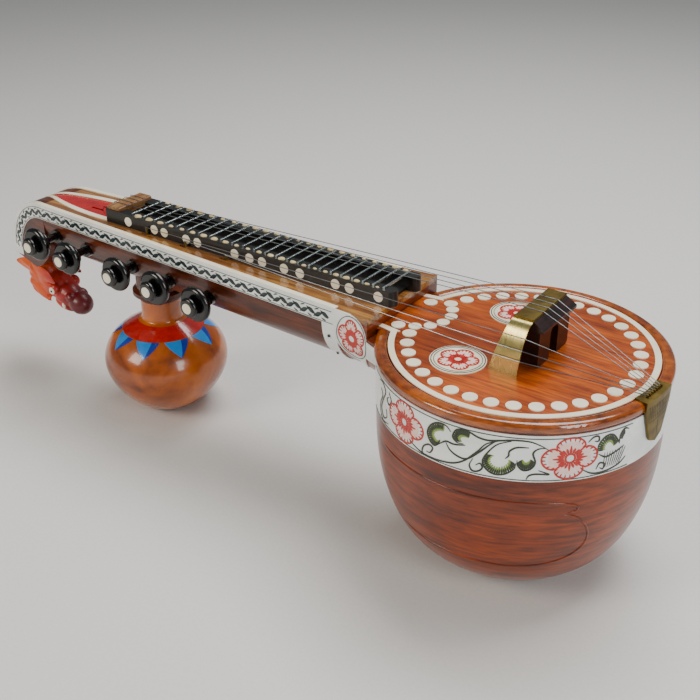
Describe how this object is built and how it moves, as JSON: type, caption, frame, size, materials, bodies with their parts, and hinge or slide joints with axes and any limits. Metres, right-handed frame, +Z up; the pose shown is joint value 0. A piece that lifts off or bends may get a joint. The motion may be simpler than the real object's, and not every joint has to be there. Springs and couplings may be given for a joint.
{
  "type": "saraswati veena, small decorative",
  "caption": "Small strung veena: round bowl, fretted neck, turning tuning pegs, gourd rest, table bridge with side bridge, and a curled dragon head.",
  "frame": {"origin": "middle of the part's box in X and Y, on the surface that the bowl and the gourd stand on", "axes": "+X along the strings from the head to the tailpiece, +Y to the far side with two pegs, +Z up"},
  "size_m": [0.4536, 0.1412, 0.1397],
  "materials": {
    "varnished_jackwood": "gloss varnish",
    "top_plate_wood": "gloss varnish",
    "neck_top_wood": "gloss varnish",
    "nut_wood": "satin",
    "white_celluloid": "gloss",
    "black_wax": "satin",
    "fret_metal": "satin",
    "brass": "satin",
    "string_steel": "gloss",
    "rosewood": "satin",
    "black_lacquer": "gloss",
    "red_paint": "gloss",
    "painted_gourd": "gloss varnish",
    "painted_dragon": "gloss"
  },
  "bodies": {
    "root": {"arch_inlay_dots": "white_celluloid", "bowl_band": "white_celluloid", "bowl_shell": "varnished_jackwood", "bowl_top_plate": "top_plate_wood", "bridge_brass": "brass", "bridge_table": "rosewood", "collar_pins": "black_lacquer", "collar_plate_far": "white_celluloid", "collar_plate_near": "white_celluloid", "collar_strap": "white_celluloid", "drone_posts": "white_celluloid", "drone_strings": "string_steel", "fret_bed": "black_wax", "fret_ledge_far": "black_wax", "fret_ledge_near": "black_wax", "frets": "fret_metal", "gourd_shell": "painted_gourd", "gourd_socket": "varnished_jackwood", "head_scroll": "varnished_jackwood", "ledge_dots": "white_celluloid", "main_strings": "string_steel", "neck_binding_far": "white_celluloid", "neck_binding_near": "white_celluloid", "neck_edge_band_far": "white_celluloid", "neck_edge_band_near": "white_celluloid", "neck_shell": "varnished_jackwood", "neck_top_plate": "neck_top_wood", "nut": "nut_wood", "peg_bushes": "black_lacquer", "pegbox_border": "white_celluloid", "pegbox_panel": "red_paint", "pegbox_shell": "varnished_jackwood", "pegbox_top_plate": "neck_top_wood", "plate_blocks": "varnished_jackwood", "rim_inlay_dots": "white_celluloid", "rim_inlay_line": "white_celluloid", "rosette_far": "white_celluloid", "rosette_near": "white_celluloid", "side_bridge": "brass", "tail_pins": "brass", "tailpiece": "brass", "top_plate_rim": "top_plate_wood", "yali_eyes": "white_celluloid", "yali_head": "painted_dragon"},
    "peg_1_body": {"peg_1": "black_lacquer", "peg_dot_1": "white_celluloid"},
    "peg_2_body": {"peg_2": "black_lacquer", "peg_dot_2": "white_celluloid"},
    "peg_3_body": {"peg_3": "black_lacquer", "peg_dot_3": "white_celluloid"},
    "peg_4_body": {"peg_4": "black_lacquer", "peg_dot_4": "white_celluloid"},
    "peg_5_body": {"peg_5": "black_lacquer", "peg_dot_5": "white_celluloid"},
    "peg_6_body": {"peg_6": "black_lacquer", "peg_dot_6": "white_celluloid"},
    "peg_7_body": {"peg_7": "black_lacquer", "peg_dot_7": "white_celluloid"}
  },
  "joints": [
    {"name": "peg_1_turn", "type": "hinge", "parent": "root", "child": "peg_1_body", "pos_m": [-0.1548, -0.0419, 0.1045], "axis": [0, -1, 0], "continuous": true},
    {"name": "peg_2_turn", "type": "hinge", "parent": "root", "child": "peg_2_body", "pos_m": [-0.1278, -0.0419, 0.102], "axis": [0, -1, 0], "continuous": true},
    {"name": "peg_3_turn", "type": "hinge", "parent": "root", "child": "peg_3_body", "pos_m": [-0.0862, -0.0419, 0.1025], "axis": [0, -1, 0], "continuous": true},
    {"name": "peg_4_turn", "type": "hinge", "parent": "root", "child": "peg_4_body", "pos_m": [-0.0553, -0.0419, 0.102], "axis": [0, -1, 0], "continuous": true},
    {"name": "peg_5_turn", "type": "hinge", "parent": "root", "child": "peg_5_body", "pos_m": [-0.0244, -0.0419, 0.1005], "axis": [0, -1, 0], "continuous": true},
    {"name": "peg_6_turn", "type": "hinge", "parent": "root", "child": "peg_6_body", "pos_m": [-0.1208, 0.0419, 0.102], "axis": [0, 1, 0], "continuous": true},
    {"name": "peg_7_turn", "type": "hinge", "parent": "root", "child": "peg_7_body", "pos_m": [-0.1478, 0.0419, 0.1035], "axis": [0, 1, 0], "continuous": true}
  ]
}
